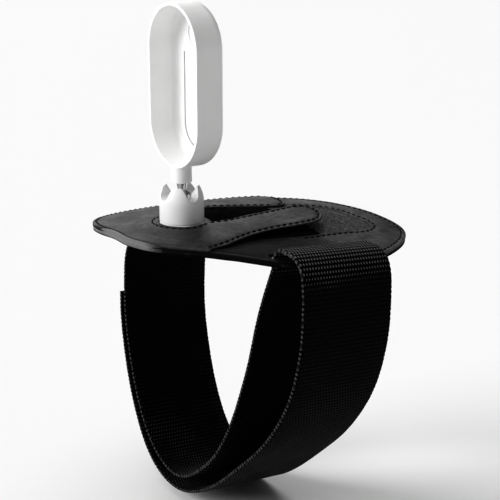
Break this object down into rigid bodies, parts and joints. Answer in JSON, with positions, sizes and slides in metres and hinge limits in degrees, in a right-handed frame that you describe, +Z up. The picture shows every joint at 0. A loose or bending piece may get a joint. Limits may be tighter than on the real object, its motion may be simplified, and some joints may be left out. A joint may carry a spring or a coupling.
{
  "type": "forearm strap holder",
  "caption": "Elastic forearm strap with a stitched leather pad that holds an oblong open cup upright on a ball joint.",
  "frame": {"origin": "pad's underside, straight below the ball joint", "axes": "+Z up along the joint's axis, +X along the forearm across the strap, cup opens towards -X"},
  "size_m": [0.1156, 0.1397, 0.2211],
  "materials": {
    "white_plastic": "satin moulded",
    "brass": "turned",
    "polished_steel": "polished",
    "spring_steel": "plain",
    "nylon": "natural",
    "black_plastic": "matte",
    "black_leather": "fine grain",
    "felt": "brushed loop pile",
    "lining": "knitted",
    "foam": "closed-cell foam",
    "thread": "twisted thread",
    "elastic": "ribbed elastic webbing",
    "hook_plastic": "hook tape"
  },
  "bodies": {
    "pad": {"socket_base": "white_plastic", "retaining_ring": "spring_steel", "base_screws": "spring_steel", "stiffener_plate": "black_plastic", "top_cover": "black_leather", "near_arm": "black_leather", "base_cover": "black_leather", "felt_panel": "felt", "recess_lining": "lining", "foam_core": "foam", "edge_piping": "black_leather", "backing_lining": "lining", "thread_edge": "thread", "thread_base": "thread", "thread_ring": "thread", "thread_window": "thread", "thread_arm": "thread", "strap_webbing": "elastic", "hook_tape": "hook_plastic", "loop_tape": "felt"},
    "crown": {"crown_socket": "white_plastic", "ball_seat": "nylon", "wave_spring": "spring_steel"},
    "stud": {"ball_stud": "polished_steel", "stud_clip": "spring_steel"},
    "cup": {"cup_shell": "white_plastic", "cup_insert": "brass"},
    "tongue": {"press_tongue": "white_plastic"}
  },
  "joints": [
    {"name": "crown_turn", "type": "hinge", "parent": "pad", "child": "crown", "pos_m": [0, 0, 0.0034], "axis": [0, 0, 1], "continuous": true},
    {"name": "ball_fold", "type": "hinge", "parent": "crown", "child": "stud", "pos_m": [0, 0, 0.0114], "axis": [0, 1, 0], "range_deg": [-22, 22]},
    {"name": "cup_swivel", "type": "hinge", "parent": "stud", "child": "cup", "pos_m": [0, 0, 0.0193], "axis": [0, 0, 1], "continuous": true},
    {"name": "tongue_press", "type": "hinge", "parent": "cup", "child": "tongue", "pos_m": [0.0089, 0, 0.0686], "axis": [0, 1, 0], "range_deg": [-3, 3], "stiffness_Nm_per_rad": 0.05}
  ]
}
